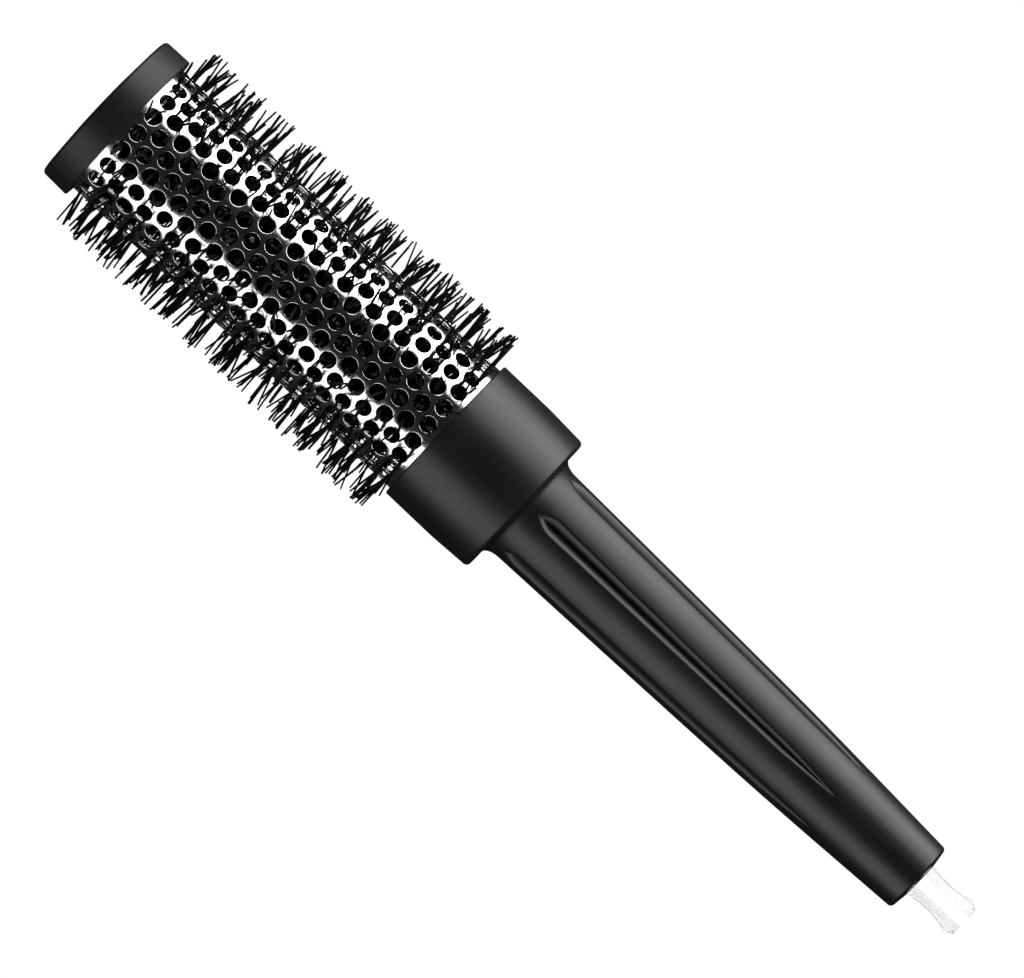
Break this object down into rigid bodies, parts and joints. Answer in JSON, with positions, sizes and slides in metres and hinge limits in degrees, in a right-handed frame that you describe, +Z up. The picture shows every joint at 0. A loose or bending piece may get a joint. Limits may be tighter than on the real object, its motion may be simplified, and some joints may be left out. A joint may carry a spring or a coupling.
{
  "type": "round barrel brush",
  "caption": "Round hairbrush with a perforated aluminium barrel, black nylon bristles, a collar, a fluted tapered handle and a clear split peg at its end.",
  "frame": {"origin": "centre of the end cap's flat outer face, on the brush's axis", "axes": "+X runs along the brush from the end cap to the handle's end; +Z is up from the side that the brush lies on"},
  "size_m": [0.2439, 0.0484, 0.0486],
  "materials": {
    "cap_plastic": "fine matte moulded black",
    "handle_plastic": "satin moulded black",
    "inner_plastic": "moulded dark grey",
    "polished_aluminium": "polished",
    "steel_wire": "drawn wire",
    "steel_tube": "drawn tube",
    "bristle_nylon": "black nylon filament",
    "clear_plastic": "clear moulded"
  },
  "bodies": {
    "brush": {"end_cap": "cap_plastic", "tip_bush": "inner_plastic", "barrel": "polished_aluminium", "barrel_plug": "inner_plastic", "stem_wire_1": "steel_wire", "stem_wire_2": "steel_wire", "stem_ferrule": "steel_tube", "collar": "handle_plastic", "handle": "handle_plastic", "bristle_row_01": "bristle_nylon", "bristle_row_02": "bristle_nylon", "bristle_row_03": "bristle_nylon", "bristle_row_04": "bristle_nylon", "bristle_row_05": "bristle_nylon", "bristle_row_06": "bristle_nylon", "bristle_row_07": "bristle_nylon", "bristle_row_08": "bristle_nylon", "bristle_row_09": "bristle_nylon", "bristle_row_10": "bristle_nylon", "bristle_row_11": "bristle_nylon", "bristle_row_12": "bristle_nylon", "bristle_row_13": "bristle_nylon", "bristle_row_14": "bristle_nylon", "bristle_row_15": "bristle_nylon", "bristle_row_16": "bristle_nylon", "bristle_row_17": "bristle_nylon", "bristle_row_18": "bristle_nylon", "bristle_row_19": "bristle_nylon", "bristle_row_20": "bristle_nylon", "bristle_row_21": "bristle_nylon", "bristle_row_22": "bristle_nylon"},
    "peg": {"split_peg": "clear_plastic"}
  },
  "joints": [
    {"name": "peg_pull", "type": "slide", "parent": "brush", "child": "peg", "axis": [1, 0, 0], "range_m": [0, 0.022]}
  ]
}
